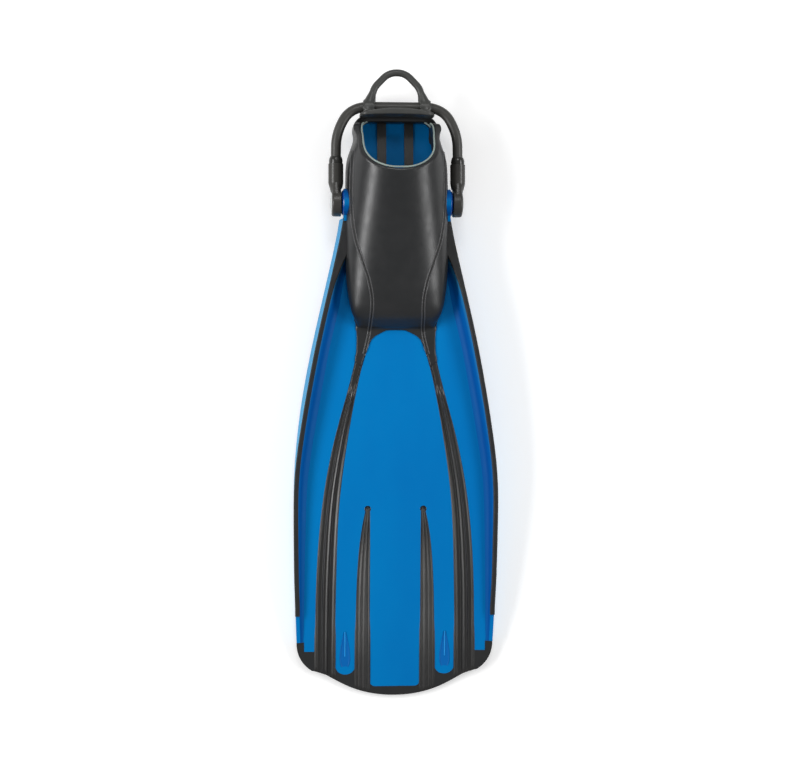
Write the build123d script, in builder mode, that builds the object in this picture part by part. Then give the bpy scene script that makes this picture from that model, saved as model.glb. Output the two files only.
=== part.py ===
"""Open-heel swim fin with a bungee heel strap, in millimetres.

+X is the wearer's right, +Y points to the heel and +Z is up. The fin lies on its sole, and the origin is
under the middle of its length. A "station" is a distance along the fin, counted from the tip of the blade.
"""

import math
import os

from build123d import *

os.makedirs("parts", exist_ok=True)

# ---- driving dimensions --------------------------------------------------------------------------
OVERALL_LENGTH = 692.0  # tip of the blade to the end of the finger loop
MAX_HALF_WIDTH = 112.4
MAX_WIDTH_STATION = 215.0
RAIL_START, RAIL_END = 60.0, 528.5  # the rails run from the tip corners up to the strap posts
RAIL_END_HALF_WIDTH = 62.0

TIP_DECK = 5.0  # height of the blade's top face at the tip
TOE_DECK = 27.0  # and at the toe, its highest point
TOE_STATION = 415.0
FOOT_FALL = 0.0845  # slope of the foot plate down to the heel
FOOT_EASE = 60.0
PLATE = 3.4  # thickness of blade and foot plate

RAIL_WALL = 4.0
RAIL_HEIGHT = 21.0  # above the deck at the post
RAIL_FLARE = 3.6  # how far a rail's lower edge stands outside its upper edge
ROOT = 0.7  # rails and foot space are rooted this deep inside the plate
TRIM_LIP = 0.6  # the edging overlaps the rail's top by this on each side
TRIM_DEPTH = 2.0
TRIM_RISE = 2.0
TRIM_START = 90.0

MEMBRANE_TOP, MEMBRANE_BOTTOM = -0.8, 2.8  # the channels' thin rubber, against the deck
PLEAT_RISE = 1.1
TIP_RUBBER = 0.3  # the tip edge stands this proud of the blade on both faces
TIP_SPLIT = 38.0  # where channels end and the tip edge begins

HEEL_STATION = 645.0
HEEL_HALF_WIDTH = 48.2
HEEL_CORNER = 19.5
HEEL_RIM_HEIGHT = 24.6
POCKET_WALL = 3.2
SOLE_WALL = 3.6
FOOTBED_HALF_WIDTH = 39.0
YOKE = 1.6  # rubber over the blade's root
RIB_RISE = 1.8

STRAP_HEIGHT = 40.0
POST_STATION = 545.0
STRAP_HALF_SPAN = 67.0
BOSS_FACE = 61.0
NECK_RADIUS = 5.4
HEAD_START, HEAD_END, HEAD_RADIUS = 66.2, 69.0, 8.2
DISC_INNER, DISC_OUTER, DISC_RADIUS = 61.4, 71.6, 15.0
BORE_END, BORE_RADIUS = 69.4, 8.6
CLIP_START, CLIP_END, CLIP_RADIUS = 62.6, 64.4, 11.0
CLIP_CLEARANCE = 0.08  # on the post's neck
CAP_RADIUS, CAP_SEAT, CAP_TOP = 12.0, 70.2, 73.6
BARREL_START, BARREL_END, BARREL_RADIUS = 564.5, 587.5, 8.2
BARREL_BORE_START, BARREL_BORE = 567.5, 6.6
STOP_START, STOP_END = 568.5, 574.5
FERRULE_STEM_START, FERRULE_END = 575.5, 595.5
CORD_RADIUS = 5.5
CORD_BEND = 38.0
CORD_STATION = 650.5  # the cord's crossing behind the heel

PAD_FRONT, PAD_BACK = 639.5, 646.6
PAD_LOW, PAD_HIGH = 25.0, 55.0
PAD_HALF_WIDTH = 41.0
LOOP_TUBE = 4.0
CORD_GAP = 0.3  # between cord and heel pad


# ---- shape of the fin ----------------------------------------------------------------------------
def y_at(station):
    return station - OVERALL_LENGTH / 2


def smooth(value, low, high):
    """0 below low, 1 above high, and an even ease between them."""
    t = min(1.0, max(0.0, (value - low) / (high - low)))
    return t * t * (3 - 2 * t)


def deck(station):
    """Height of the top face of the blade and foot plate."""
    if station <= TOE_STATION:
        return TIP_DECK + (TOE_DECK - TIP_DECK) * math.sin(math.pi / 2 * station / TOE_STATION)
    past = station - TOE_STATION
    return TOE_DECK - FOOT_FALL * past**2 / (past + FOOT_EASE)


def half_width(station):
    """Half the fin's width over the rails."""
    if station <= MAX_WIDTH_STATION:
        return MAX_HALF_WIDTH - 3.2 * ((MAX_WIDTH_STATION - station) / 155) ** 2
    t = (RAIL_END - station) / (RAIL_END - MAX_WIDTH_STATION)
    rise = math.sin(math.pi / 2 * max(0.0, t)) ** 1.17
    return RAIL_END_HALF_WIDTH + (MAX_HALF_WIDTH - RAIL_END_HALF_WIDTH) * rise


def rail_outer_top(station):
    return half_width(station) - RAIL_FLARE * smooth(station, 215, 340)


def rail_inner_top(station):
    """Inner edge of the rail's top, which closes up against the foot pocket near the post."""
    free = rail_outer_top(station) - RAIL_WALL
    return free + (52 - free) * smooth(station, 455, 492)


def rail_top(station):
    return deck(station) + 0.4 + RAIL_HEIGHT * ((station - 46) / 485) ** 0.62


def rail_bottom(station):
    if station <= 120:
        return 0.02 + 4.0 * ((120 - station) / 60) ** 2
    return 0.02 + 15.5 * ((station - 120) / 411) ** 1.5


# ---- helpers -------------------------------------------------------------------------------------
def across(station):
    """The plane across the fin at a station: its x is +X and its y is +Z."""
    return Plane.XZ.offset(-y_at(station))


def prism(plan, low=-10, high=140):
    """The upright solid over a plan outline."""
    with BuildPart() as piece:
        with BuildSketch(Plane.XY.offset(low)):
            add(plan)
        extrude(amount=high - low)
    return piece.part


def slab(above, below):
    """A sheet right across the fin, from `above` over the deck to `below` under it."""
    stations = [-12, 60, 140, 220, 300, 370, 415, 450, 500, 570, 660]
    with BuildPart() as sheet:
        with BuildSketch(Plane.YZ.offset(-130)):
            with BuildLine():
                top = Spline([(y_at(s), deck(s) + above) for s in stations])
                bottom = Spline([(y_at(s), deck(s) - below) for s in stations])
                Line(top @ 0, bottom @ 0)
                Line(top @ 1, bottom @ 1)
            make_face()
        extrude(amount=260)
    return sheet.part


def layer(plan, above, below):
    """The part of such a sheet that lies within a plan outline."""
    return prism(plan) & slab(above, below)


def finish(part, name):
    part.label = name
    export_step(part, f"parts/{name}.step")


def finish_pair(right, name):
    """Writes the right-hand piece and its mirror image."""
    finish(right, f"{name}_right")
    finish(mirror(right, about=Plane.YZ), f"{name}_left")


# ---- plan outlines -------------------------------------------------------------------------------
TIP_CURVE = [(0, 0), (29, 3), (52, 10.5), (73, 21.5), (92, 28)]
CORNER_MIDDLE = (104.5, 40.5)
SIDE_STATIONS = [60, 110, 165, 215, 270, 330, 390, 450, 500, RAIL_END]

with BuildSketch() as outline:
    with BuildLine():
        tip_line = Spline([(x, y_at(s)) for x, s in TIP_CURVE], tangents=[(1, 0), (1, 0.12)])
        side_line = Spline(
            [(half_width(s), y_at(s)) for s in SIDE_STATIONS], tangents=[(0.03, 1), (-0.1, 1)]
        )
        ThreePointArc(tip_line @ 1, (CORNER_MIDDLE[0], y_at(CORNER_MIDDLE[1])), side_line @ 0)
        Line(side_line @ 1, (0, y_at(RAIL_END)))
        Line((0, y_at(RAIL_END)), (0, y_at(0)))
    make_face()
    mirror(about=Plane.YZ)

# Rubber channels on the right-hand side: station, inner edge and outer edge.
OUTER_CHANNEL = [
    (-8, 66.5, 88.7),
    (60, 66.5, 88.7),
    (140, 65.2, 87.2),
    (218, 61.8, 80.5),
    (285, 53.2, 68.0),
    (345, 42.4, 51.8),
    (372, 35.8, 45.4),
    (394, 28.0, 42.4),
]
INNER_CHANNEL = [(-8, 28, 44), (60, 28, 44), (130, 28, 42.6), (180, 28, 38.4), (206, 28.2, 33.6)]
INNER_CHANNEL_END = (30.2, 212)


def channel_plan(table, margin=0.0, end=None, start=-8):
    """Plan of a channel, drawn in from its edges by a share of its width."""
    rows = [(s, a + margin * (b - a), b - margin * (b - a)) for s, a, b in table]
    with BuildSketch() as plan:
        with BuildLine():
            inner = Spline([(a, y_at(s)) for s, a, b in rows])
            outer = Spline([(b, y_at(s)) for s, a, b in rows])
            Line(inner @ 0, outer @ 0)
            if end:
                ThreePointArc(inner @ 1, (end[0], y_at(end[1])), outer @ 1)
            else:
                Line(inner @ 1, outer @ 1)
        make_face()
        with Locations((60, y_at(start) - 50)):
            Rectangle(120, 100, mode=Mode.SUBTRACT)
    return plan.sketch


outer_slot = channel_plan(OUTER_CHANNEL)
inner_slot = channel_plan(INNER_CHANNEL, end=INNER_CHANNEL_END)

# The rubber yoke starts at an arch over the centre panel.
with BuildSketch() as yoke_plan:
    with BuildLine():
        arch = Spline(
            [(38, y_at(366)), (32, y_at(385)), (25, y_at(397)), (14, y_at(404)), (0, y_at(406))],
            tangents=[(-0.25, 1), (-1, 0)],
        )
        side_edge = Spline([(x, y_at(s)) for x, s in [(46.4, 371.5), (44.0, 387), (44.4, 402), (50, 440)]])
        Line(arch @ 0, side_edge @ 0)
        Polyline(side_edge @ 1, (0, y_at(440)), arch @ 1)
    make_face()
    mirror(about=Plane.YZ)

# The blue panels stop short of the tip: each end's range across, its station and its corner radius.
PANEL_ENDS = [(0, 28.5, 10, 6), (43.5, 67, 23.5, 10.8), (88, 101, 49.5, 4), (101, 120, 61, 4)]

with BuildSketch() as blade_plan:
    add(outline.sketch)
    for slot in (outer_slot, inner_slot):
        add(slot, mode=Mode.SUBTRACT)
        mirror(slot, about=Plane.YZ, mode=Mode.SUBTRACT)
    for low, high, end, _ in PANEL_ENDS:
        for side in (-1, 1):
            with Locations((side * (low + high) / 2, y_at(end) - 40)):
                Rectangle(high - low, 80, mode=Mode.SUBTRACT)
    for _, _, end, radius in PANEL_ENDS[:2]:
        corners = [v for v in blade_plan.vertices() if abs(v.Y - y_at(end)) < 0.01]
        fillet(corners, radius=radius)

# The panels end inside the rails' walls.
with BuildSketch() as rail_strip:
    with BuildLine():
        inside_wall = Spline([(half_width(s) - 2, y_at(s)) for s in [50] + SIDE_STATIONS[1:] + [540]])
        Polyline(inside_wall @ 0, (130, y_at(50)), (130, y_at(540)), inside_wall @ 1)
    make_face()
    mirror(about=Plane.YZ)

with BuildSketch() as panel_plan:
    add(blade_plan.sketch)
    add(rail_strip.sketch, mode=Mode.SUBTRACT)

with BuildSketch() as tip_plan:
    add(outline.sketch)
    add(blade_plan.sketch, mode=Mode.SUBTRACT)
    for table in (OUTER_CHANNEL, INNER_CHANNEL):
        slot = channel_plan(table, start=TIP_SPLIT)
        add(slot, mode=Mode.SUBTRACT)
        mirror(slot, about=Plane.YZ, mode=Mode.SUBTRACT)
    with Locations((0, y_at(RAIL_START) + 300)):
        Rectangle(300, 600, mode=Mode.SUBTRACT)

with BuildSketch() as foot_plate_plan:
    with Locations((0, (y_at(430) + y_at(HEEL_STATION - 3)) / 2)):
        RectangleRounded(2 * (HEEL_HALF_WIDTH - 3), HEEL_STATION - 3 - 430, radius=HEEL_CORNER - 3)

# ---- foot pocket volumes -------------------------------------------------------------------------
# Station, half-width and height of the top of the upper.
POCKET_SECTIONS = [
    (408.5, 40.0, 31.5),
    (411.5, 42.4, 37.0),
    (416, 45.0, 43.5),
    (424, 49.0, 52.0),
    (435, 51.9, 57.4),
    (448, 54.0, 62.0),
    (456, 54.9, 64.2),
    (465, 55.7, 66.3),
    (475, 56.3, 68.5),
    (485, 56.7, 70.8),
    (496, 56.9, 73.4),
    (507, 57.0, 76.1),
    (518, 57.05, 78.9),
    (530, 57.0, 82.2),
    (541, 56.9, 85.2),
    (552, 56.8, 88.4),
    (563, 56.5, 91.6),
    (575, 56.2, 95.0),
    (600, 52.5, 102.0),
    (622, 48.4, 108.0),
    (652, 46.8, 114.0),
]
SHOULDER = 14.0  # height of the upper's widest line over the foot plate


def shoulder(station, high):
    return min(deck(station) + SHOULDER, high - 0.5 * (high - deck(station)))


def pocket_section(half, low, high, middle, floor):
    """A section of the pocket: a flat floor, sides that curve out to the middle line and an arch."""
    with BuildLine() as section:
        Line((0, low), (floor, low))
        Bezier((floor, low), (half - 2, low), (half, (low + middle) / 2), (half, middle))
        rise = high - middle
        Bezier((half, middle), (half, middle + 0.6 * rise), (0.66 * half, high), (0, high))
        mirror(about=Plane.YZ)
    return section.line


def heel_plan(inset):
    """Everything ahead of the heel, and the heel's own round corners."""
    with BuildSketch() as plan:
        with Locations((0, y_at(490))):
            Rectangle(140, 264)
        with Locations((0, (y_at(560) + y_at(HEEL_STATION - inset)) / 2)):
            RectangleRounded(
                2 * (HEEL_HALF_WIDTH - inset), HEEL_STATION - inset - 560, radius=HEEL_CORNER - inset
            )
    return plan.sketch


heel_block = prism(heel_plan(0))
foot_block = prism(heel_plan(9))

with BuildPart() as pocket_outside:
    for station, half, high in POCKET_SECTIONS:
        low = deck(station) - PLATE - SOLE_WALL
        with BuildSketch(across(station)):
            add(pocket_section(half, low, high, shoulder(station, high), half - 16))
            make_face()
    loft()
    add(heel_block, mode=Mode.INTERSECT)

# The space for the foot stands on the foot plate, between the side bolsters.
with BuildPart() as pocket_inside:
    for station, half, high in POCKET_SECTIONS[3:]:
        low = deck(station)
        half -= POCKET_WALL + 4 * smooth(station, 540, 640)
        with BuildSketch(across(station)):
            floor = min(FOOTBED_HALF_WIDTH, half - 9)
            add(pocket_section(half, low - ROOT, high - POCKET_WALL, low + SHOULDER, floor))
            make_face()
    loft()
    add(foot_block, mode=Mode.INTERSECT)

# The foot's opening, seen from the side: the instep's slope, the notch behind it and the heel cup's rim.
RIM = [
    (560, 107),
    (576, 95),
    (588, 86),
    (600, 76),
    (611, 66),
    (621, 56.5),
    (629, 48.5),
    (632.5, 43),
    (632, 37),
    (630, 31),
    (633.5, 25.5),
]
with BuildPart() as opening:
    with BuildSketch(Plane.YZ.offset(-70)):
        with BuildLine():
            slope = Spline([(y_at(s), z) for s, z in RIM])
            Line(slope @ 1, (y_at(637), HEEL_RIM_HEIGHT))
            Polyline(
                (y_at(637), HEEL_RIM_HEIGHT), (y_at(660), HEEL_RIM_HEIGHT), (y_at(660), 170), slope @ 0
            )
        make_face()
    extrude(amount=140)

# ---- strap posts ---------------------------------------------------------------------------------
POST_Y = y_at(POST_STATION)
POST_AXIS = Axis((0, POST_Y, STRAP_HEIGHT), (1, 0, 0))

with BuildPart() as strap_post:
    with BuildSketch(Plane.XY.offset(STRAP_HEIGHT)):
        with BuildLine():
            Polyline((53.4, POST_Y), (53.4, POST_Y + 9.5), (54.6, POST_Y + 9.5), (54.6, POST_Y + 7))
            Polyline((54.6, POST_Y + 7), (58.6, POST_Y + 7), (58.6, POST_Y + 14.2))
            ThreePointArc((58.6, POST_Y + 14.2), (60.3, POST_Y + 12.9), (BOSS_FACE, POST_Y + 10))
            Polyline(
                (BOSS_FACE, POST_Y + 10),
                (BOSS_FACE, POST_Y + NECK_RADIUS),
                (HEAD_START, POST_Y + NECK_RADIUS),
                (HEAD_START, POST_Y + HEAD_RADIUS),
                (HEAD_END - 1, POST_Y + HEAD_RADIUS),
                (HEAD_END, POST_Y + HEAD_RADIUS - 1.4),
                (HEAD_END, POST_Y),
                (53.4, POST_Y),
            )
        make_face()
    revolve(axis=POST_AXIS)

# ---- blade: panels, rails, foot plate and post lugs in one moulding ------------------------------
RAIL_STATIONS = [RAIL_START, 74, 92, 120, 155, 195, 240, 290, 340, 390, 430, 462, 495, RAIL_END]

with BuildPart() as rail:
    for station in RAIL_STATIONS:
        wide, top, inner = rail_outer_top(station), rail_top(station), rail_inner_top(station)
        floor, up = deck(station), rail_top(station) - deck(station)
        slope = min(4 + 0.85 * up, 16) - 11 * smooth(station, 440, 495)
        wall = min(inner, wide - RAIL_WALL)
        with BuildSketch(across(station)):
            with BuildLine():
                Polyline(
                    (inner - slope, floor - ROOT),
                    (inner - slope, floor - PLATE + ROOT),
                    (wall - 1.5, floor - PLATE + ROOT),
                    (wall, rail_bottom(station)),
                    (half_width(station), rail_bottom(station)),
                    (wide, top),
                    (inner, top),
                )
                Bezier(
                    (inner, top),
                    (inner - 0.12 * slope, floor + 0.3 * up),
                    (inner - 0.45 * slope, floor),
                    (inner - slope, floor - ROOT),
                )
            make_face()
    loft()

with BuildPart() as lug:
    with BuildSketch(Plane.YZ.offset(50)):
        with Locations((POST_Y, STRAP_HEIGHT)):
            Circle(15.5)
        with Locations((POST_Y - 10, STRAP_HEIGHT - 3)):
            Rectangle(20, 20)
    extrude(amount=8.6)

panels = layer(panel_plan.sketch, 0, PLATE)
foot_plate = layer(foot_plate_plan.sketch, 0, PLATE)

with BuildPart() as blade:
    add(rail.part)
    add(lug.part)
    mirror(about=Plane.YZ)
    add(pocket_outside.part, mode=Mode.SUBTRACT)
    add(panels)
    add(foot_plate)
    add(strap_post.part, mode=Mode.SUBTRACT)
    mirror(strap_post.part, about=Plane.YZ, mode=Mode.SUBTRACT)

# ---- rubber on the blade -------------------------------------------------------------------------
tip_edge = layer(tip_plan.sketch, TIP_RUBBER, PLATE + TIP_RUBBER)

with BuildSketch() as outer_channel_plan:
    add(channel_plan(OUTER_CHANNEL, start=TIP_SPLIT))
    add(yoke_plan.sketch, mode=Mode.SUBTRACT)

inner_channel_plan = channel_plan(INNER_CHANNEL, end=INNER_CHANNEL_END, start=TIP_SPLIT)
outer_pleat_plan = channel_plan(OUTER_CHANNEL[:-2], margin=0.28, start=TIP_SPLIT)
inner_pleat_plan = channel_plan(INNER_CHANNEL[:-1], margin=0.26, start=TIP_SPLIT)

outer_membrane = layer(outer_channel_plan.sketch, MEMBRANE_TOP, MEMBRANE_BOTTOM)
outer_pleat = layer(outer_pleat_plan, PLEAT_RISE, PLATE / 2)
inner_membrane = layer(inner_channel_plan, MEMBRANE_TOP, MEMBRANE_BOTTOM)
inner_pleat = layer(inner_pleat_plan, PLEAT_RISE, PLATE / 2)

with BuildPart() as outer_channel:
    add(outer_membrane)
    add(outer_pleat)

with BuildPart() as inner_channel:
    add(inner_membrane)
    add(inner_pleat)

with BuildPart() as rail_trim:
    for station in [TRIM_START] + RAIL_STATIONS[3:]:
        top = rail_top(station)
        outer, inner = rail_outer_top(station) + TRIM_LIP, rail_inner_top(station) - TRIM_LIP
        with BuildSketch(across(station)):
            with BuildLine():
                Polyline(
                    (inner, top - TRIM_DEPTH),
                    (outer, top - TRIM_DEPTH),
                    (outer, top + TRIM_RISE - 1),
                    (outer - 1.2, top + TRIM_RISE),
                    (inner + 1.2, top + TRIM_RISE),
                    (inner, top + TRIM_RISE - 1),
                    close=True,
                )
            make_face()
    loft()
    add(blade.part, mode=Mode.SUBTRACT)
    add(pocket_outside.part, mode=Mode.SUBTRACT)

# ---- foot pocket, its grip and its sole ----------------------------------------------------------
with BuildSketch() as rib_plan:
    for side in (-1, 1):
        with Locations((side * 15, y_at(536))):
            RectangleRounded(10, 204, radius=3)
    with Locations((0, y_at(440))):
        Rectangle(30, 10)

footbed_grip = layer(rib_plan.sketch, RIB_RISE, 0)
yoke = layer(yoke_plan.sketch, YOKE, PLATE + YOKE)

with BuildPart() as foot_pocket:
    add(pocket_outside.part)
    add(pocket_inside.part, mode=Mode.SUBTRACT)
    add(opening.part, mode=Mode.SUBTRACT)
    add(yoke)
    add(blade.part, mode=Mode.SUBTRACT)
    add(footbed_grip, mode=Mode.SUBTRACT)
    add(strap_post.part, mode=Mode.SUBTRACT)
    mirror(strap_post.part, about=Plane.YZ, mode=Mode.SUBTRACT)

TREAD_START, TREAD_END, TREAD_HALF_WIDTH = 588.0, 640.0, 34.0
with BuildPart() as sole_tread:
    with BuildSketch():
        with Locations((0, (y_at(TREAD_START) + y_at(TREAD_END)) / 2)):
            RectangleRounded(2 * TREAD_HALF_WIDTH, TREAD_END - TREAD_START, radius=14)
    extrude(amount=14)
    add(pocket_outside.part, mode=Mode.SUBTRACT)
    with Locations(*[(0, y_at(s), 0) for s in (598, 608, 618, 628)]):
        Box(80, 3.2, 4.4, mode=Mode.SUBTRACT)

# ---- buckles and what they hold ------------------------------------------------------------------
with BuildPart() as buckle:
    with BuildSketch(Plane.YZ.offset(DISC_INNER)):
        with Locations((POST_Y, STRAP_HEIGHT)):
            Circle(DISC_RADIUS)
    extrude(amount=DISC_OUTER - DISC_INNER)
    fillet(buckle.edges().group_by(Axis.X)[-1], radius=2.4)
    fillet(buckle.edges().group_by(Axis.X)[0], radius=0.8)
    with BuildSketch(across(POST_STATION + 7)):
        with Locations(((DISC_INNER + DISC_OUTER) / 2, STRAP_HEIGHT)):
            RectangleRounded(DISC_OUTER - DISC_INNER - 1, 25, radius=3.5)
    with BuildSketch(across(BARREL_START + 2)):
        with Locations((STRAP_HALF_SPAN, STRAP_HEIGHT)):
            Circle(BARREL_RADIUS)
    loft()
    with BuildSketch(across(BARREL_START + 2)):
        with Locations((STRAP_HALF_SPAN, STRAP_HEIGHT)):
            Circle(BARREL_RADIUS)
    extrude(amount=BARREL_START + 2 - BARREL_END)
    with BuildSketch(Plane.YZ.offset(DISC_INNER)):
        with Locations((POST_Y, STRAP_HEIGHT)):
            Circle(DISC_RADIUS + 1)
    extrude(amount=-6, mode=Mode.SUBTRACT)
    with BuildSketch(Plane.YZ.offset(DISC_INNER)):
        with Locations((POST_Y, STRAP_HEIGHT)):
            Circle(BORE_RADIUS)
    extrude(amount=BORE_END - DISC_INNER, mode=Mode.SUBTRACT)
    with BuildSketch(Plane.YZ.offset(CLIP_START)):
        with Locations((POST_Y, STRAP_HEIGHT)):
            Circle(CLIP_RADIUS)
    extrude(amount=CLIP_END - CLIP_START, mode=Mode.SUBTRACT)
    with BuildSketch(Plane.YZ.offset(CAP_SEAT)):
        with Locations((POST_Y, STRAP_HEIGHT)):
            Circle(CAP_RADIUS)
    extrude(amount=5, mode=Mode.SUBTRACT)
    with BuildSketch(across(BARREL_BORE_START)):
        with Locations((STRAP_HALF_SPAN, STRAP_HEIGHT)):
            Circle(BARREL_BORE)
    extrude(amount=BARREL_BORE_START - BARREL_END, mode=Mode.SUBTRACT)

with BuildPart() as buckle_cap:
    with BuildSketch(Plane.XY.offset(STRAP_HEIGHT)):
        with BuildLine():
            Polyline(
                (CAP_TOP, POST_Y),
                (CAP_SEAT, POST_Y),
                (CAP_SEAT, POST_Y + CAP_RADIUS),
                (DISC_OUTER, POST_Y + CAP_RADIUS),
            )
            TangentArc((CAP_TOP, POST_Y), (DISC_OUTER, POST_Y + CAP_RADIUS), tangent=(0, 1))
        make_face()
    revolve(axis=POST_AXIS)

with BuildPart() as snap_clip:
    with BuildSketch(Plane.YZ.offset(CLIP_START)):
        with Locations((POST_Y, STRAP_HEIGHT)):
            Circle(CLIP_RADIUS)
            Circle(NECK_RADIUS + CLIP_CLEARANCE, mode=Mode.SUBTRACT)
        with Locations((POST_Y - 8, STRAP_HEIGHT)):
            Rectangle(10, 6, mode=Mode.SUBTRACT)
    extrude(amount=CLIP_END - CLIP_START)

with BuildPart() as cord_stop:
    with BuildSketch(across(STOP_START)):
        with Locations((STRAP_HALF_SPAN, STRAP_HEIGHT)):
            Circle(BARREL_BORE - 0.2)
    extrude(amount=STOP_START - STOP_END)
    fillet(cord_stop.edges().group_by(Axis.Y)[0], radius=1.5)

CORD_AXIS = Axis((STRAP_HALF_SPAN, 0, STRAP_HEIGHT), (0, 1, 0))
with BuildPart() as ferrule:
    with BuildSketch(Plane.XY.offset(STRAP_HEIGHT)):
        with BuildLine():
            bore, stem = STRAP_HALF_SPAN + CORD_RADIUS + 0.1, STRAP_HALF_SPAN + BARREL_BORE - 0.1
            rim = STRAP_HALF_SPAN + 7.4
            Polyline(
                (bore + 0.5, y_at(FERRULE_END)),
                (bore, y_at(FERRULE_END - 1)),
                (bore, y_at(FERRULE_STEM_START)),
                (stem, y_at(FERRULE_STEM_START)),
                (stem, y_at(BARREL_END)),
                (rim, y_at(BARREL_END)),
                (rim, y_at(BARREL_END + 2.5)),
            )
            ThreePointArc(
                (rim, y_at(BARREL_END + 2.5)),
                (rim - 0.35, y_at(BARREL_END + 5.8)),
                (bore + 0.5, y_at(FERRULE_END)),
            )
        make_face()
    revolve(axis=CORD_AXIS)


def along_cord(radius):
    """A round bar along the cord's route: up one side, behind the heel and down the other side."""
    side, start, back = STRAP_HALF_SPAN, y_at(STOP_END), y_at(CORD_STATION)
    route = [(side, start), (side, back), (-side, back), (-side, start)]
    with BuildPart() as bar:
        with BuildLine(Plane.XY.offset(STRAP_HEIGHT)):
            FilletPolyline(*route, radius=CORD_BEND)
        with BuildSketch(across(STOP_END)):
            with Locations((STRAP_HALF_SPAN, STRAP_HEIGHT)):
                Circle(radius)
        sweep()
    return bar.part


bungee_cord = along_cord(CORD_RADIUS)
sleeve_bar = along_cord(CORD_RADIUS + 2.6)
cord_room = along_cord(CORD_RADIUS + CORD_GAP)

# The heel pad is a curved plate with two sleeves round the cord and a finger loop behind.
LOOP_ROUTE = [(32, 647.5), (24.5, 672), (9, 688), (-9, 688), (-24.5, 672), (-32, 647.5)]
with BuildPart() as sleeves:
    for side in (-1, 1):
        with Locations((side * 31, y_at(CORD_STATION), STRAP_HEIGHT)):
            Box(12, 24, 24)
    add(sleeve_bar, mode=Mode.INTERSECT)

with BuildPart() as heel_pad:
    with BuildSketch(Plane.XY.offset(PAD_LOW)):
        with BuildLine():
            ends = [(PAD_HALF_WIDTH, y_at(PAD_FRONT)), (PAD_HALF_WIDTH, y_at(PAD_FRONT + 3.4))]
            ThreePointArc((-ends[0][0], ends[0][1]), (0, y_at(PAD_FRONT + 1.5)), ends[0])
            Line(*ends)
            ThreePointArc(ends[1], (0, y_at(PAD_BACK + 1.4)), (-ends[1][0], ends[1][1]))
            Line((-ends[1][0], ends[1][1]), (-ends[0][0], ends[0][1]))
        make_face()
    extrude(amount=PAD_HIGH - PAD_LOW)
    fillet(heel_pad.edges().filter_by(Axis.Y), radius=9)
    add(sleeves.part)
    with BuildLine(Plane.XY.offset(STRAP_HEIGHT)):
        FilletPolyline(*[(x, y_at(s)) for x, s in LOOP_ROUTE], radius=20)
    with BuildSketch(Plane((32, y_at(647.5), STRAP_HEIGHT), z_dir=(-7.5, 24.5, 0))):
        Circle(LOOP_TUBE)
    sweep()
    add(cord_room, mode=Mode.SUBTRACT)

# ---- the pieces ----------------------------------------------------------------------------------
finish(blade.part, "blade")
finish(foot_pocket.part, "foot_pocket")
finish(tip_edge, "tip_edge")
finish(footbed_grip, "footbed_grip")
finish(sole_tread.part, "sole_tread")
finish(bungee_cord, "bungee_cord")
finish(heel_pad.part, "heel_pad")
finish_pair(outer_channel.part, "outer_channel")
finish_pair(inner_channel.part, "inner_channel")
finish_pair(rail_trim.part, "rail_trim")
finish_pair(strap_post.part, "strap_post")
finish_pair(buckle.part, "buckle")
finish_pair(buckle_cap.part, "buckle_cap")
finish_pair(snap_clip.part, "snap_clip")
finish_pair(cord_stop.part, "cord_stop")
finish_pair(ferrule.part, "ferrule")
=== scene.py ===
"""Looks of the open-heel swim fin, in metres.

+X is the wearer's right, +Y points to the heel and +Z is up. A "station" is a distance in
millimetres along the fin, counted from the tip of the blade.
"""

import math

import bpy
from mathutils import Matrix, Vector
from mathutils.bvhtree import BVHTree


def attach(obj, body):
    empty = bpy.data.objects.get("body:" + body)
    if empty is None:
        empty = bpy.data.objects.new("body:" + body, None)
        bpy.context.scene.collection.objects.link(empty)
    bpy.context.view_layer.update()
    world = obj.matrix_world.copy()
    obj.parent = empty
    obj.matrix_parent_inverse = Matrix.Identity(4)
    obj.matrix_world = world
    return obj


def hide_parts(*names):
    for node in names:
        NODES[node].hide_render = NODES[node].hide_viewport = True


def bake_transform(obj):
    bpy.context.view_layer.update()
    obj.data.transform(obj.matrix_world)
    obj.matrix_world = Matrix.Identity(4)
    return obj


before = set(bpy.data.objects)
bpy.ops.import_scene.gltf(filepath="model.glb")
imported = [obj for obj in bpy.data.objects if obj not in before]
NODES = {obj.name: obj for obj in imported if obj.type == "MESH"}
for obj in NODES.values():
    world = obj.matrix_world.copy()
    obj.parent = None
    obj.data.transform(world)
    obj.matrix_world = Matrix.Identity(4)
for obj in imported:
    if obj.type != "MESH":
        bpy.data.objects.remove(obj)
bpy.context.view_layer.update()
SIDES = {"left": -1, "right": 1}

MM = 0.001
OVERALL_LENGTH = 692.0
TOE_STATION = 415.0
STRAP_HEIGHT = 40.0


# ---- shape of the fin ----------------------------------------------------------------------------
def y_at(station):
    return (station - OVERALL_LENGTH / 2) * MM


def smooth(value, low, high):
    t = min(1.0, max(0.0, (value - low) / (high - low)))
    return t * t * (3 - 2 * t)


def deck(station):
    """Height in millimetres of the top face of the blade and foot plate."""
    if station <= TOE_STATION:
        return 5 + 22 * math.sin(math.pi / 2 * max(station, 0) / TOE_STATION)
    past = station - TOE_STATION
    return 27 - 0.0845 * past**2 / (past + 60)


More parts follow.
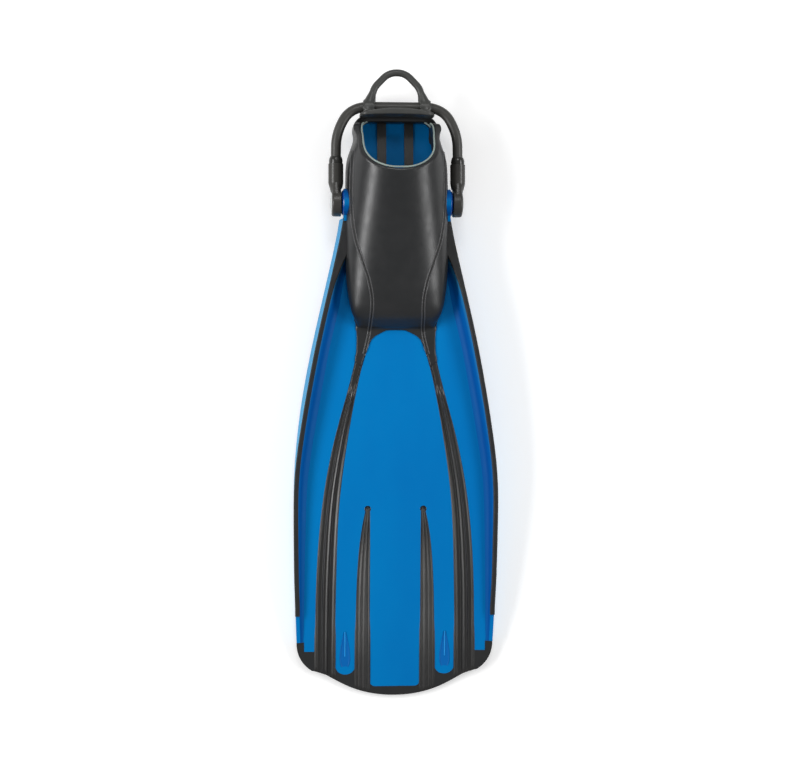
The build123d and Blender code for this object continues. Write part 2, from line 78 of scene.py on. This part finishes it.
def read_table(table, station, column):
    """Smooth reading of a column of a table whose first column is the station."""
    rows = [row[0] for row in table]
    if station <= rows[0]:
        return table[0][column]
    if station >= rows[-1]:
        return table[-1][column]
    i = max(k for k, row in enumerate(rows) if row <= station)
    i = min(i, len(rows) - 2)
    before, after = table[max(i - 1, 0)], table[min(i + 2, len(rows) - 1)]
    low, high = table[i], table[i + 1]
    span = high[0] - low[0]
    t = (station - low[0]) / span
    slope_low = (high[column] - before[column]) / (high[0] - before[0]) * span
    slope_high = (after[column] - low[column]) / (after[0] - low[0]) * span
    t2, t3 = t * t, t * t * t
    return (
        (2 * t3 - 3 * t2 + 1) * low[column]
        + (t3 - 2 * t2 + t) * slope_low
        + (3 * t2 - 2 * t3) * high[column]
        + (t3 - t2) * slope_high
    )


# ---- modelling helpers ---------------------------------------------------------------------------
def deselect_all():
    bpy.ops.object.select_all(action="DESELECT")


def make_active(piece):
    deselect_all()
    piece.select_set(True)
    bpy.context.view_layer.objects.active = piece


def apply_modifier(piece, kind, **settings):
    make_active(piece)
    modifier = piece.modifiers.new(kind.lower(), kind)
    for key, value in settings.items():
        setattr(modifier, key, value)
    bpy.ops.object.modifier_apply(modifier=modifier.name)


def set_points(piece, points):
    piece.data.vertices.foreach_set("co", [value for point in points for value in point])
    piece.data.update()


def shaped_grid(name, columns, rows, place):
    """A grid whose points are put where place(u, v) says, with u and v from 0 to 1."""
    deselect_all()
    bpy.ops.mesh.primitive_grid_add(x_subdivisions=columns, y_subdivisions=rows, size=1)
    piece = bpy.context.object
    piece.name = piece.data.name = name
    set_points(piece, [place(v.co.x + 0.5, v.co.y + 0.5) for v in piece.data.vertices])
    return piece


def turn_over(piece):
    """Turns an open sheet's faces to its other side."""
    make_active(piece)
    bpy.ops.object.mode_set(mode="EDIT")
    bpy.ops.mesh.select_all(action="SELECT")
    bpy.ops.mesh.flip_normals()
    bpy.ops.object.mode_set(mode="OBJECT")


def smooth_faces(piece, degrees=35):
    make_active(piece)
    bpy.ops.object.shade_smooth_by_angle(angle=math.radians(degrees))


def merged_copy(node, name):
    """A copy of a CAD node with its loose triangles joined, to be worked on."""
    deselect_all()
    piece = bpy.data.objects.new(name, NODES[node].data.copy())
    bpy.context.scene.collection.objects.link(piece)
    piece.data.materials.clear()
    make_active(piece)
    bpy.ops.object.mode_set(mode="EDIT")
    bpy.ops.mesh.select_all(action="SELECT")
    bpy.ops.mesh.remove_doubles(threshold=0.00001)
    bpy.ops.object.mode_set(mode="OBJECT")
    return piece


def tube(name, points, radius, steps=3):
    """A round bead along a line of points, made as a curve and then turned into a mesh."""
    deselect_all()
    bpy.ops.curve.primitive_nurbs_path_add()
    piece = bpy.context.object
    piece.name = name
    curve = piece.data
    curve.splines.clear()
    spline = curve.splines.new("NURBS")
    spline.points.add(len(points) - 1)
    for knot, point in zip(spline.points, points):
        knot.co = (*point, 1)
    spline.order_u = 3
    spline.use_endpoint_u = True
    spline.resolution_u = steps
    curve.bevel_depth = radius
    curve.bevel_resolution = 4
    curve.use_fill_caps = True
    bpy.ops.object.convert(target="MESH")
    bpy.ops.object.transform_apply(location=True, rotation=True, scale=True)
    piece = bpy.context.object
    piece.data.name = name
    smooth_faces(piece, 60)
    return piece


def surface_of(*node_names):
    """The faces of some CAD nodes, to lay beads on."""
    points, faces = [], []
    for node_name in node_names:
        mesh = NODES[node_name].data
        first = len(points)
        points += [vertex.co for vertex in mesh.vertices]
        faces += [[first + corner for corner in face.vertices] for face in mesh.polygons]
    return BVHTree.FromPolygons(points, faces)


def finish_piece(piece, body, material):
    piece.data.materials.clear()
    piece.data.materials.append(material)
    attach(piece, body)
    return piece


# ---- finishes ------------------------------------------------------------------------------------
class Finish:
    """Builds one moulded material out of nodes, on Object coordinates."""

    def __init__(self, name, color, roughness, specular=0.5):
        self.material = bpy.data.materials.new(name)
        self.material.use_nodes = True
        self.nodes = self.material.node_tree.nodes
        self.links = self.material.node_tree.links
        self.shader = self.nodes["Principled BSDF"]
        self.shader.inputs["Base Color"].default_value = (*color, 1)
        self.shader.inputs["Roughness"].default_value = roughness
        self.shader.inputs["Specular IOR Level"].default_value = specular
        self.color = color
        self.place = self.nodes.new("ShaderNodeTexCoord").outputs["Object"]

    def noise(self, size_mm, detail=3, stretch=(1, 1, 1)):
        """Noise whose grain is about size_mm across."""
        mapping = self.nodes.new("ShaderNodeMapping")
        mapping.inputs["Scale"].default_value = stretch
        self.links.new(self.place, mapping.inputs["Vector"])
        noise = self.nodes.new("ShaderNodeTexNoise")
        noise.inputs["Scale"].default_value = 1000 / size_mm
        noise.inputs["Detail"].default_value = detail
        self.links.new(mapping.outputs["Vector"], noise.inputs["Vector"])
        return noise.outputs["Fac"]

    def spread(self, source, low, high):
        """A value of 0 to 1 turned into a range."""
        scale = self.nodes.new("ShaderNodeMapRange")
        scale.inputs["From Min"].default_value = 0.3
        scale.inputs["From Max"].default_value = 0.7
        scale.inputs["To Min"].default_value = low
        scale.inputs["To Max"].default_value = high
        self.links.new(source, scale.inputs["Value"])
        return scale.outputs["Result"]

    def vary_color(self, source, other):
        """Mixes the base colour with another one by a value."""
        mix = self.nodes.new("ShaderNodeMix")
        mix.data_type = "RGBA"
        mix.inputs["A"].default_value = (*self.color, 1)
        mix.inputs["B"].default_value = (*other, 1)
        self.links.new(source, mix.inputs["Factor"])
        self.links.new(mix.outputs["Result"], self.shader.inputs["Base Color"])

    def vary_roughness(self, source, low, high):
        self.links.new(self.spread(source, low, high), self.shader.inputs["Roughness"])

    def bump(self, source, height_mm, strength=0.5):
        bump = self.nodes.new("ShaderNodeBump")
        bump.inputs["Strength"].default_value = strength
        bump.inputs["Distance"].default_value = height_mm * MM
        self.links.new(source, bump.inputs["Height"])
        self.links.new(bump.outputs["Normal"], self.shader.inputs["Normal"])


def moulded_plastic(name, color, darker, roughness, specular=0.5):
    finish = Finish(name, color, roughness, specular)
    finish.vary_color(finish.spread(finish.noise(60, 2), 0, 1), darker)
    finish.vary_roughness(finish.noise(14, 4), roughness - 0.05, roughness + 0.06)
    finish.bump(finish.noise(0.8, 2), 0.02, 0.12)
    return finish.material


def moulded_rubber(name, color, paler, roughness, spread=0.05, grain=0.05):
    finish = Finish(name, color, roughness, 0.5)
    finish.vary_color(finish.spread(finish.noise(25, 3), 0, 1), paler)
    finish.vary_roughness(finish.noise(9, 4), roughness - spread, roughness + spread)
    finish.bump(finish.noise(0.6, 3), grain, 0.22)
    return finish.material


# How much a face of the blade looks up or down, and the colour painted there: painted light on the
# rails' steep sides, painted shade on the sloping faces of the troughs, and the blade's own blue on
# flat faces.
RAIL_SIDE_PAINTED_LIGHT = (0.05, (0.055, 0.38, 0.66, 1))
TROUGH_PAINTED_SHADE = [
    (0.4, (0.002, 0.13, 0.44, 1)),
    (0.7, (0.0, 0.088, 0.35, 1)),
    (0.95, (0.0, 0.12, 0.41, 1)),
]
FLAT = (0.992, (0.0, 0.185, 0.50, 1))


def blade_with_painted_light_and_shade(name):
    """Blue plastic with painted light and shade: painted shade where it curves up to the rails,
    painted light on their steep sides.
    """
    finish = Finish(name, FLAT[1][:3], 0.4, 0.06)
    geometry = finish.nodes.new("ShaderNodeNewGeometry")
    split = finish.nodes.new("ShaderNodeSeparateXYZ")
    finish.links.new(geometry.outputs["Normal"], split.inputs["Vector"])
    upright = finish.nodes.new("ShaderNodeMath")
    upright.operation = "ABSOLUTE"
    finish.links.new(split.outputs["Z"], upright.inputs[0])
    # Colour by how upright a face is: painted light on steep faces, painted shade on sloping ones.
    ramp = finish.nodes.new("ShaderNodeValToRGB")
    stops = ramp.color_ramp.elements
    stops[0].position, stops[0].color = RAIL_SIDE_PAINTED_LIGHT
    stops[1].position, stops[1].color = FLAT
    for position, color in TROUGH_PAINTED_SHADE:
        stop = stops.new(position)
        stop.color = color
    finish.links.new(upright.outputs["Value"], ramp.inputs["Fac"])
    mix = finish.nodes.new("ShaderNodeMix")
    mix.data_type = "RGBA"
    mix.blend_type = "MULTIPLY"
    finish.links.new(finish.spread(finish.noise(70, 2, (1, 0.4, 1)), 0, 1), mix.inputs["Factor"])
    finish.links.new(ramp.outputs["Color"], mix.inputs["A"])
    mix.inputs["B"].default_value = (1, 0.86, 0.93, 1)
    finish.links.new(mix.outputs["Result"], finish.shader.inputs["Base Color"])
    finish.vary_roughness(finish.noise(12, 4), 0.36, 0.46)
    finish.bump(finish.noise(0.8, 2), 0.02, 0.12)
    return finish.material


blade_blue = blade_with_painted_light_and_shade("blade_blue")
# The scoops' darker blue is painted shade standing in for the shade of their hollows, and the
# spines' paler blue is a painted highlight.
scoop_blue = moulded_plastic("scoop_blue", (0.0, 0.13, 0.44), (0.0, 0.12, 0.42), 0.4, 0.15)
spine_blue = moulded_plastic("spine_blue", (0.02, 0.36, 0.80), (0.01, 0.30, 0.72), 0.3, 0.3)
post_blue = moulded_plastic("post_blue", (0.003, 0.055, 0.30), (0.002, 0.045, 0.26), 0.18)
black_rubber = moulded_rubber(
    "black_rubber", (0.0125, 0.0135, 0.0145), (0.017, 0.0175, 0.0185), 0.33
)
channel_rubber = moulded_rubber(
    "channel_rubber", (0.014, 0.014, 0.014), (0.018, 0.0175, 0.017), 0.29, 0.01, 0.01
)
# The piping's rubber is paler than the pocket's as a painted highlight along the beads.
piping_rubber = moulded_rubber("piping_rubber", (0.05, 0.05, 0.052), (0.07, 0.07, 0.072), 0.3)
# The groove's near-black rubber is painted shade beside the beads.
groove_rubber = moulded_rubber(
    "groove_rubber", (0.002, 0.002, 0.002), (0.003, 0.003, 0.003), 0.6
)
cord_rubber = moulded_rubber(
    "cord_rubber", (0.034, 0.033, 0.030), (0.042, 0.041, 0.037), 0.42
)
pad_rubber = moulded_rubber("pad_rubber", (0.034, 0.035, 0.033), (0.042, 0.043, 0.040), 0.4)
# Pale grey-green rubber for the opening's rim: a painted highlight along the edge.
rim_rubber = moulded_rubber("rim_rubber", (0.22, 0.28, 0.26), (0.30, 0.36, 0.33), 0.38)
buckle_plastic = moulded_plastic(
    "buckle_plastic", (0.036, 0.035, 0.031), (0.030, 0.029, 0.026), 0.34
)
ferrule_plastic = moulded_plastic(
    "ferrule_plastic", (0.022, 0.022, 0.020), (0.018, 0.018, 0.016), 0.26
)
cap_grey = moulded_plastic("cap_grey", (0.58, 0.60, 0.60), (0.54, 0.56, 0.56), 0.4)
steel = moulded_plastic("steel", (0.55, 0.55, 0.55), (0.5, 0.5, 0.5), 0.3)
steel.node_tree.nodes["Principled BSDF"].inputs["Metallic"].default_value = 1.0

NODE_FINISHES = {
    "blade": blade_blue,
    "tip_edge": black_rubber,
    "footbed_grip": black_rubber,
    "sole_tread": black_rubber,
    "rail_trim": black_rubber,
    "strap_post": post_blue,
    "buckle": buckle_plastic,
    "buckle_cap": cap_grey,
    "snap_clip": steel,
    "cord_stop": steel,
    "ferrule": ferrule_plastic,
}
for node_name, node in NODES.items():
    kind = node_name.replace("_left", "").replace("_right", "")
    if kind in NODE_FINISHES:
        node.data.materials.clear()
        node.data.materials.append(NODE_FINISHES[kind])

# ---- rubber channels -----------------------------------------------------------------------------
# Station, inner edge and outer edge of the slots that the channels fill, right-hand side.
OUTER_CHANNEL = [
    (-8, 66.5, 88.7),
    (60, 66.5, 88.7),
    (140, 65.2, 87.2),
    (218, 61.8, 80.5),
    (285, 53.2, 68.0),
    (345, 42.4, 51.8),
    (372, 35.8, 45.4),
    (394, 28.0, 42.4),
]
INNER_CHANNEL = [
    (-8, 28, 44),
    (60, 28, 44),
    (130, 28, 42.6),
    (180, 28, 38.4),
    (206, 28.2, 33.6),
    (209.5, 28.9, 32.8),
    (212, 29.9, 31.0),
]
OUTER_END, INNER_END = 378, 212.4
LAP = 0.7  # how far a strip reaches over its slot's edges
RUBBER_THICKNESS = 1.6
# Distance from the middle and station of the trailing edge.
TIP_LINE = [(0, 0), (29, 3), (52, 10.5), (73, 21.5), (92, 28)]


def tip_station(x):
    """Station of the trailing edge at a distance from the middle."""
    return read_table(TIP_LINE, x, 1)


def ridge(v, middle, width):
    return math.exp(-(((v - middle) / width) ** 2))


def gable(v, middle, width):
    """A ridge with two straight sides, softened at its top."""
    reach = 1 - math.sqrt(((v - middle) / width) ** 2 + 0.01)
    return max(0.0, reach) / 0.9


def flat_top(v, low, high, edge):
    return smooth(v, low - edge, low + edge) * (1 - smooth(v, high - edge, high + edge))


def channel_floor(station):
    """The floor of a channel lies under the deck, and over the rubber edge at the tip."""
    return -0.8 + 1.25 * (1 - smooth(station, 38, 110))


def outer_pleat(v, station, from_edge):
    """Height over the deck across an outer channel: lips, grooves and a wide flat pleat."""
    pleated = 1 - smooth(station, 322, 352)
    lips = 1.1 * gable(v, 0.10, 0.10) + 0.9 * gable(v, 0.92, 0.08)
    pleat = 1.7 * flat_top(v, 0.37, 0.66, 0.05) + 0.8 * gable(v, 0.43, 0.08)
    strap = 1.6 * flat_top(v, 0.24, 0.86, 0.10)
    rise = lips + pleated * pleat + (1 - pleated) * strap
    return channel_floor(station) + rise * smooth(from_edge, -1.5, 4)


def inner_pleat(v, station, from_edge):
    """Height over the deck across an inner channel: lips and a double ridge."""
    lips = 0.75 * (gable(v, 0.08, 0.09) + gable(v, 0.92, 0.09))
    ridges = 1.5 * gable(v, 0.38, 0.17) + 1.2 * gable(v, 0.66, 0.14)
    narrow = 1 - 0.5 * smooth(station, 180, 211)
    return channel_floor(station) + (lips + ridges) * narrow * smooth(from_edge, -1.5, 4)


def channel(name, table, side, end, profile):
    """A strip of pleated rubber from the trailing edge to its end station."""

    def across(station, v):
        inner, outer = read_table(table, station, 1) - LAP, read_table(table, station, 2) + LAP
        return inner + (outer - inner) * v

    def place(u, v):
        start = tip_station(across(u * end, v)) + 0.6
        station = start + (end - start) * u
        height = deck(station) + profile(v, station, station - start)
        return side * across(station, v) * MM, y_at(station), height * MM

    strip = shaped_grid(name, 200, 100, place)
    if side > 0:
        turn_over(strip)
    apply_modifier(strip, "SOLIDIFY", thickness=RUBBER_THICKNESS * MM, offset=-1)
    smooth_faces(strip, 75)
    return strip


for side_name, side in SIDES.items():
    outer = channel(f"outer_pleats_{side_name}", OUTER_CHANNEL, side, OUTER_END, outer_pleat)
    finish_piece(outer, "fin", channel_rubber)
    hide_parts(f"outer_channel_{side_name}")
    inner = channel(f"inner_pleats_{side_name}", INNER_CHANNEL, side, INNER_END, inner_pleat)
    finish_piece(inner, "fin", channel_rubber)
    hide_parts(f"inner_channel_{side_name}")

# ---- scoops in the blade -------------------------------------------------------------------------
SCOOP_BOTTOM, SCOOP_TOP, SCOOP_HALF_WIDTH, SCOOP_MIDDLE = 31.0, 73.0, 6.3, 55.6
SCOOP_THICKNESS = 0.8
SPINE_STATIONS = (44, 52, 60, 68, 71.5)
SPINE_RADIUS = 0.55


def scoop(name, side):
    """A teardrop with a raised rim and a fine ridge down its middle."""

    def place(u, v):
        station = SCOOP_BOTTOM + (SCOOP_TOP - SCOOP_BOTTOM) * u
        across = 2 * v - 1
        half = SCOOP_HALF_WIDTH * max(0.02, math.sin(math.pi * u**0.52)) ** 0.75
        rim = 0.55 * ridge(abs(across), 0.82, 0.10)
        ends = smooth(u, 0, 0.05) * (1 - smooth(u, 0.95, 1))
        rise = 0.08 + rim * ends - 0.6 * smooth(abs(across), 0.92, 1) - 0.6 * (1 - ends)
        x = SCOOP_MIDDLE + across * half
        return side * x * MM, y_at(station), (deck(station) + rise) * MM

    piece = shaped_grid(name, 90, 40, place)
    if side > 0:
        turn_over(piece)
    apply_modifier(piece, "SOLIDIFY", thickness=SCOOP_THICKNESS * MM, offset=-1)
    smooth_faces(piece, 50)
    return piece


for side_name, side in SIDES.items():
    # Darker blue of painted shade on each scoop, paler blue of painted highlight on its spine.
    finish_piece(scoop(f"scoop_{side_name}", side), "fin", scoop_blue)
    middle = side * SCOOP_MIDDLE * MM
    spine_line = [(middle, y_at(s), (deck(s) + 0.1) * MM) for s in SPINE_STATIONS]
    spine = tube(f"scoop_spine_{side_name}", spine_line, SPINE_RADIUS * MM)
    finish_piece(spine, "fin", spine_blue)

# ---- foot pocket ---------------------------------------------------------------------------------
def soften(piece, weight, factor, rounds):
    """Smooths a mesh where weight(place) says, from 0 to 1."""
    group = piece.vertex_groups.new(name="soft")
    for vertex in piece.data.vertices:
        amount = weight(vertex.co)
        if amount > 0.01:
            group.add([vertex.index], amount, "REPLACE")
    apply_modifier(piece, "SMOOTH", factor=factor, iterations=rounds, vertex_group="soft")
    piece.vertex_groups.clear()


def upper_weight(place):
    """All of the upper but its opening's edge."""
    station = place.y / MM + OVERALL_LENGTH / 2
    height = place.z / MM
    ahead_of_opening = 1 - smooth(station + 0.9 * max(0.0, height - 45), 590, 612)
    return ahead_of_opening * smooth(height - deck(station), 3, 9) * smooth(station, 409, 416)


POCKET_VOXEL = 1.4
pocket = merged_copy("foot_pocket", "foot_pocket_rubber")
apply_modifier(pocket, "REMESH", mode="VOXEL", voxel_size=POCKET_VOXEL * MM)
apply_modifier(pocket, "SMOOTH", factor=0.5, iterations=3)
soften(pocket, upper_weight, 0.5, 12)
smooth_faces(pocket, 70)
finish_piece(pocket, "fin", black_rubber)
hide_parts("foot_pocket")

# ---- beads on the foot pocket --------------------------------------------------------------------
UPPER = surface_of("foot_pocket", "blade", "outer_channel_left", "outer_channel_right")
POCKET = surface_of("foot_pocket")
PIPING_RADIUS, PIPING_SPACING, PIPING_SINK = 0.75, 1.55, 0.2
GROOVE_RADIUS, GROOVE_SINK = 1.05, 0.75
RIM_RADIUS = 0.95
# Station and distance from the middle of the line that the piping follows.
PIPING = [
    (380, 35.2),
    (401, 30.3),
    (417, 28.7),
    (438, 28.2),
    (459, 32),
    (479, 38.5),
    (503, 46.2),
    (530, 50.2),
    (557, 51),
    (579, 50.6),
    (600, 49.2),
]


def on_top(x, station, sink):
    """The point of the upper right above a place in plan, sunk a little into the surface."""
    hit, normal, _, _ = UPPER.ray_cast(Vector((x * MM, y_at(station), 0.2)), Vector((0, 0, -1)))
    if hit is None:
        return Vector((x * MM, y_at(station), deck(station) * MM))
    return hit - normal * sink * MM


def piping_line(side, shift, sink):
    first, last = PIPING[0][0], PIPING[-1][0]
    stations = [first + (last - first) * i / 60 for i in range(61)]
    return [on_top(side * (read_table(PIPING, s, 1) + shift), s, sink) for s in stations]


for side_name, side in SIDES.items():
    for edge_name, shift in (("inner", -PIPING_SPACING), ("outer", PIPING_SPACING)):
        line = piping_line(side, shift, PIPING_SINK)
        piping = tube(f"{edge_name}_piping_{side_name}", line, PIPING_RADIUS * MM)
        finish_piece(piping, "fin", piping_rubber)
    # A near-black line of painted shade between the two beads, whose paler rubber is a painted
    # highlight.
    line = piping_line(side, 0, GROOVE_SINK)
    groove = tube(f"piping_groove_{side_name}", line, GROOVE_RADIUS * MM)
    finish_piece(groove, "fin", groove_rubber)

# The foot opening's edge from the instep down to the heel cup: step, station and height.
OPENING_EDGE = [
    (0, 576, 95),
    (1, 588, 86),
    (2, 600, 76),
    (3, 611, 66),
    (4, 621, 56.5),
    (5, 629, 48.5),
    (6, 632.5, 43),
    (7, 632, 37),
    (8, 630, 31),
    (9, 633.5, 25.2),
]
# Its last points, at the corner of the heel cup: distance from the middle, station and height.
HEEL_EDGE = [(34.4, 634.8, 24.9), (31.6, 636.2, 24.6)]
LAST_STEP = OPENING_EDGE[-1][0]


def opening_line():
    """The inside edge of the opening, from the middle of the instep round to the heel's corner."""
    line = []
    for i in range(61):
        step = LAST_STEP * (i / 60) ** 2
        station, height = read_table(OPENING_EDGE, step, 1), read_table(OPENING_EDGE, step, 2)
        start = Vector((0, y_at(station - 0.5), (height - 0.4) * MM))
        hit, normal, _, _ = POCKET.ray_cast(start, Vector((1, 0, 0)))
        if hit and normal.x < 0 and 1.5 * MM < hit.x < 56 * MM:
            line.append(Vector((hit.x, y_at(station), height * MM)))
    return line + [Vector((x * MM, y_at(s), z * MM)) for x, s, z in HEEL_EDGE]


right_edge = opening_line()
left_edge = [Vector((-point.x, point.y, point.z)) for point in reversed(right_edge)]
# The rim bead's pale colour is a painted highlight along the opening's edge.
rim = tube("opening_rim", left_edge + right_edge, RIM_RADIUS * MM)
finish_piece(rim, "fin", rim_rubber)

# ---- cord ----------------------------------------------------------------------------------------
# The cord's middle line in millimetres, from the right-hand ferrule to the middle of the heel.
CORD_ROUTE = [(67, 574.5), (67, 592), (66.5, 622), (50, 650.5), (8, 650.5)]
CORD_RADIUS = 5.5

cord_route = CORD_ROUTE + [(-x, s) for x, s in reversed(CORD_ROUTE)]
cord_line = [(x * MM, y_at(s), STRAP_HEIGHT * MM) for x, s in cord_route]
cord = tube("bungee", cord_line, CORD_RADIUS * MM, steps=24)
cord.data.materials.clear()
cord.data.materials.append(cord_rubber)
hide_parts("bungee_cord")
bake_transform(cord)

# ---- heel pad ------------------------------------------------------------------------------------
PAD_VOXEL = 0.9
GUSSET_PLACE, GUSSET_LENGTH, GUSSET_LEAN = (29.5, 656.5), 22, 17
heel_pad = merged_copy("heel_pad", "heel_pad_rubber")
gussets = []
for side in SIDES.values():
    deselect_all()
    bpy.ops.mesh.primitive_cone_add(
        vertices=40,
        radius1=9 * MM,
        radius2=3.6 * MM,
        depth=GUSSET_LENGTH * MM,
        location=(side * GUSSET_PLACE[0] * MM, y_at(GUSSET_PLACE[1]), STRAP_HEIGHT * MM),
        rotation=(math.radians(-90), 0, side * math.radians(GUSSET_LEAN)),
    )
    bpy.ops.object.transform_apply(location=True, rotation=True, scale=True)
    gussets.append(bpy.context.object)
make_active(heel_pad)
for gusset in gussets:
    gusset.select_set(True)
bpy.ops.object.join()
apply_modifier(heel_pad, "REMESH", mode="VOXEL", voxel_size=PAD_VOXEL * MM)
apply_modifier(heel_pad, "SMOOTH", factor=0.5, iterations=6)
smooth_faces(heel_pad, 60)
finish_piece(heel_pad, "heel_pad", pad_rubber)
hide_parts("heel_pad")

# ---- stage, light and camera ---------------------------------------------------------------------
deselect_all()
bpy.ops.mesh.primitive_plane_add(size=8, location=(0, 0, -0.0005))
floor = bpy.context.object
floor.name = "studio_floor"
PAPER_GLOW = 0.28
paper = Finish("studio_paper", (0.86, 0.86, 0.86), 0.9, 0.1)
path = paper.nodes.new("ShaderNodeLightPath")
glow = paper.nodes.new("ShaderNodeMath")
glow.operation = "MULTIPLY"
glow.inputs[1].default_value = PAPER_GLOW
paper.links.new(path.outputs["Is Camera Ray"], glow.inputs[0])
paper.shader.inputs["Emission Color"].default_value = (1, 1, 1, 1)
paper.links.new(glow.outputs["Value"], paper.shader.inputs["Emission Strength"])
floor.data.materials.append(paper.material)


def softbox(name, place, target, size, power):
    deselect_all()
    bpy.ops.object.light_add(type="AREA", location=place)
    lamp = bpy.context.object
    lamp.name = name
    lamp.data.shape = "RECTANGLE"
    lamp.data.size, lamp.data.size_y = size
    lamp.data.energy = power
    aim = Vector(target) - Vector(place)
    lamp.rotation_mode = "QUATERNION"
    lamp.rotation_quaternion = aim.to_track_quat("-Z", "Y")
    return lamp


softbox("left_softbox", (-1.3, 0.1, 1.0), (0, 0.1, 0.03), (1.3, 0.4), 18)
softbox("right_softbox", (1.3, 0.1, 1.0), (0, 0.1, 0.03), (1.3, 0.4), 12)
softbox("heel_softbox", (0, 1.35, 1.7), (0, 0.25, 0.03), (0.5, 0.5), 7)

WORLD_STRENGTH = 0.34
world = bpy.data.worlds.new("studio")
bpy.context.scene.world = world
world.use_nodes = True
background = world.node_tree.nodes["Background"]
background.inputs["Color"].default_value = (1, 1, 1, 1)
background.inputs["Strength"].default_value = WORLD_STRENGTH

TILT = math.radians(4.5)
DISTANCE = 2.0
VIEW_WIDTH = 0.8864
SENSOR_WIDTH = 36
LOOK_AT = Vector((0.005, 0.0008, 0.02))
deselect_all()
bpy.ops.object.camera_add()
camera = bpy.context.object
camera.name = "camera"
away = Vector((-math.sin(TILT), 0, math.cos(TILT)))
camera.location = LOOK_AT + away * DISTANCE
camera.rotation_euler = (0, -TILT, 0)
camera.data.sensor_width = SENSOR_WIDTH
camera.data.lens = SENSOR_WIDTH * DISTANCE / VIEW_WIDTH
bpy.context.scene.camera = camera
bpy.context.scene.view_settings.view_transform = "Standard"
